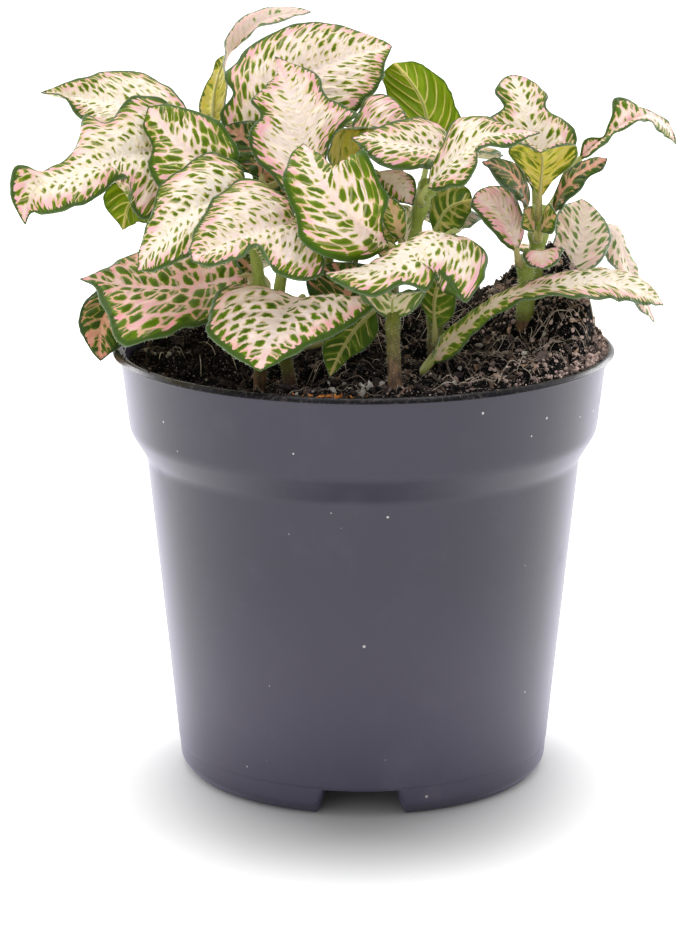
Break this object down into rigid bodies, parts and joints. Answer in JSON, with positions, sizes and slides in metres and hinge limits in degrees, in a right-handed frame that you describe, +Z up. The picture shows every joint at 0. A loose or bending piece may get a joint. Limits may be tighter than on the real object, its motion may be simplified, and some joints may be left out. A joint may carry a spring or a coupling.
{
  "type": "potted nerve plant",
  "caption": "Bushy fittonia with cream-veined, green-edged leaves on slim hairy stems, in a tapered plastic nursery pot full of dark potting soil.",
  "frame": {"origin": "on the pot's axis at the surface the pot stands on", "axes": "+Z up along the pot's axis, the side seen in the picture faces -Y, +X to its right"},
  "size_m": [0.159, 0.1198, 0.1813],
  "materials": {
    "pot": "satin purple-grey polypropylene",
    "soil": "rough dark peat with light crumbs",
    "stem": "soft green-brown, finely hairy",
    "leaf": "cream and pink net with green flecks and green margin, satin"
  },
  "bodies": {
    "root": {"pot": "pot", "soil": "soil", "stem_front": "stem", "stem_centre": "stem", "stem_right": "stem", "stem_right_small": "stem", "stem_left_front": "stem", "stem_left_mid": "stem", "stem_middle": "stem", "stem_left_back": "stem", "stem_left_low": "stem", "stem_back": "stem", "stem_right_back": "stem", "leaf_left_top": "leaf", "leaf_left_wide": "leaf", "leaf_left_upright": "leaf", "leaf_left_mid": "leaf", "leaf_front_left": "leaf", "leaf_crown": "leaf", "leaf_crown_curled": "leaf", "leaf_centre_pale": "leaf", "leaf_centre_curled": "leaf", "leaf_centre_spotted": "leaf", "leaf_centre_right": "leaf", "leaf_centre_twisted": "leaf", "leaf_back_upright": "leaf", "leaf_front_right": "leaf", "leaf_front_low": "leaf", "leaf_left_low": "leaf", "leaf_left_hanging": "leaf", "leaf_left_under": "leaf", "leaf_left_small": "leaf", "leaf_right_top": "leaf", "leaf_right_cup": "leaf", "leaf_right_curled": "leaf", "leaf_right_inner": "leaf", "leaf_right_small": "leaf", "leaf_right_shaded": "leaf", "leaf_right_narrow": "leaf", "leaf_right_back": "leaf", "leaf_right_drooping": "leaf", "leaf_right_long": "leaf", "leaf_centre_under": "leaf", "leaf_centre_bud": "leaf", "leaf_front_inner": "leaf", "leaf_soil_right": "leaf", "leaf_centre_small": "leaf", "leaf_inner_shaded": "leaf", "leaf_back_left": "leaf", "leaf_back_middle": "leaf", "leaf_back_right": "leaf", "leaf_back_high_right": "leaf", "leaf_back_crown": "leaf", "leaf_back_top": "leaf", "leaf_back_far_left": "leaf", "leaf_back_low_left": "leaf", "leaf_back_low": "leaf", "leaf_back_low_right": "leaf", "leaf_back_side_right": "leaf", "leaf_back_far_right": "leaf"}
  },
  "joints": []
}
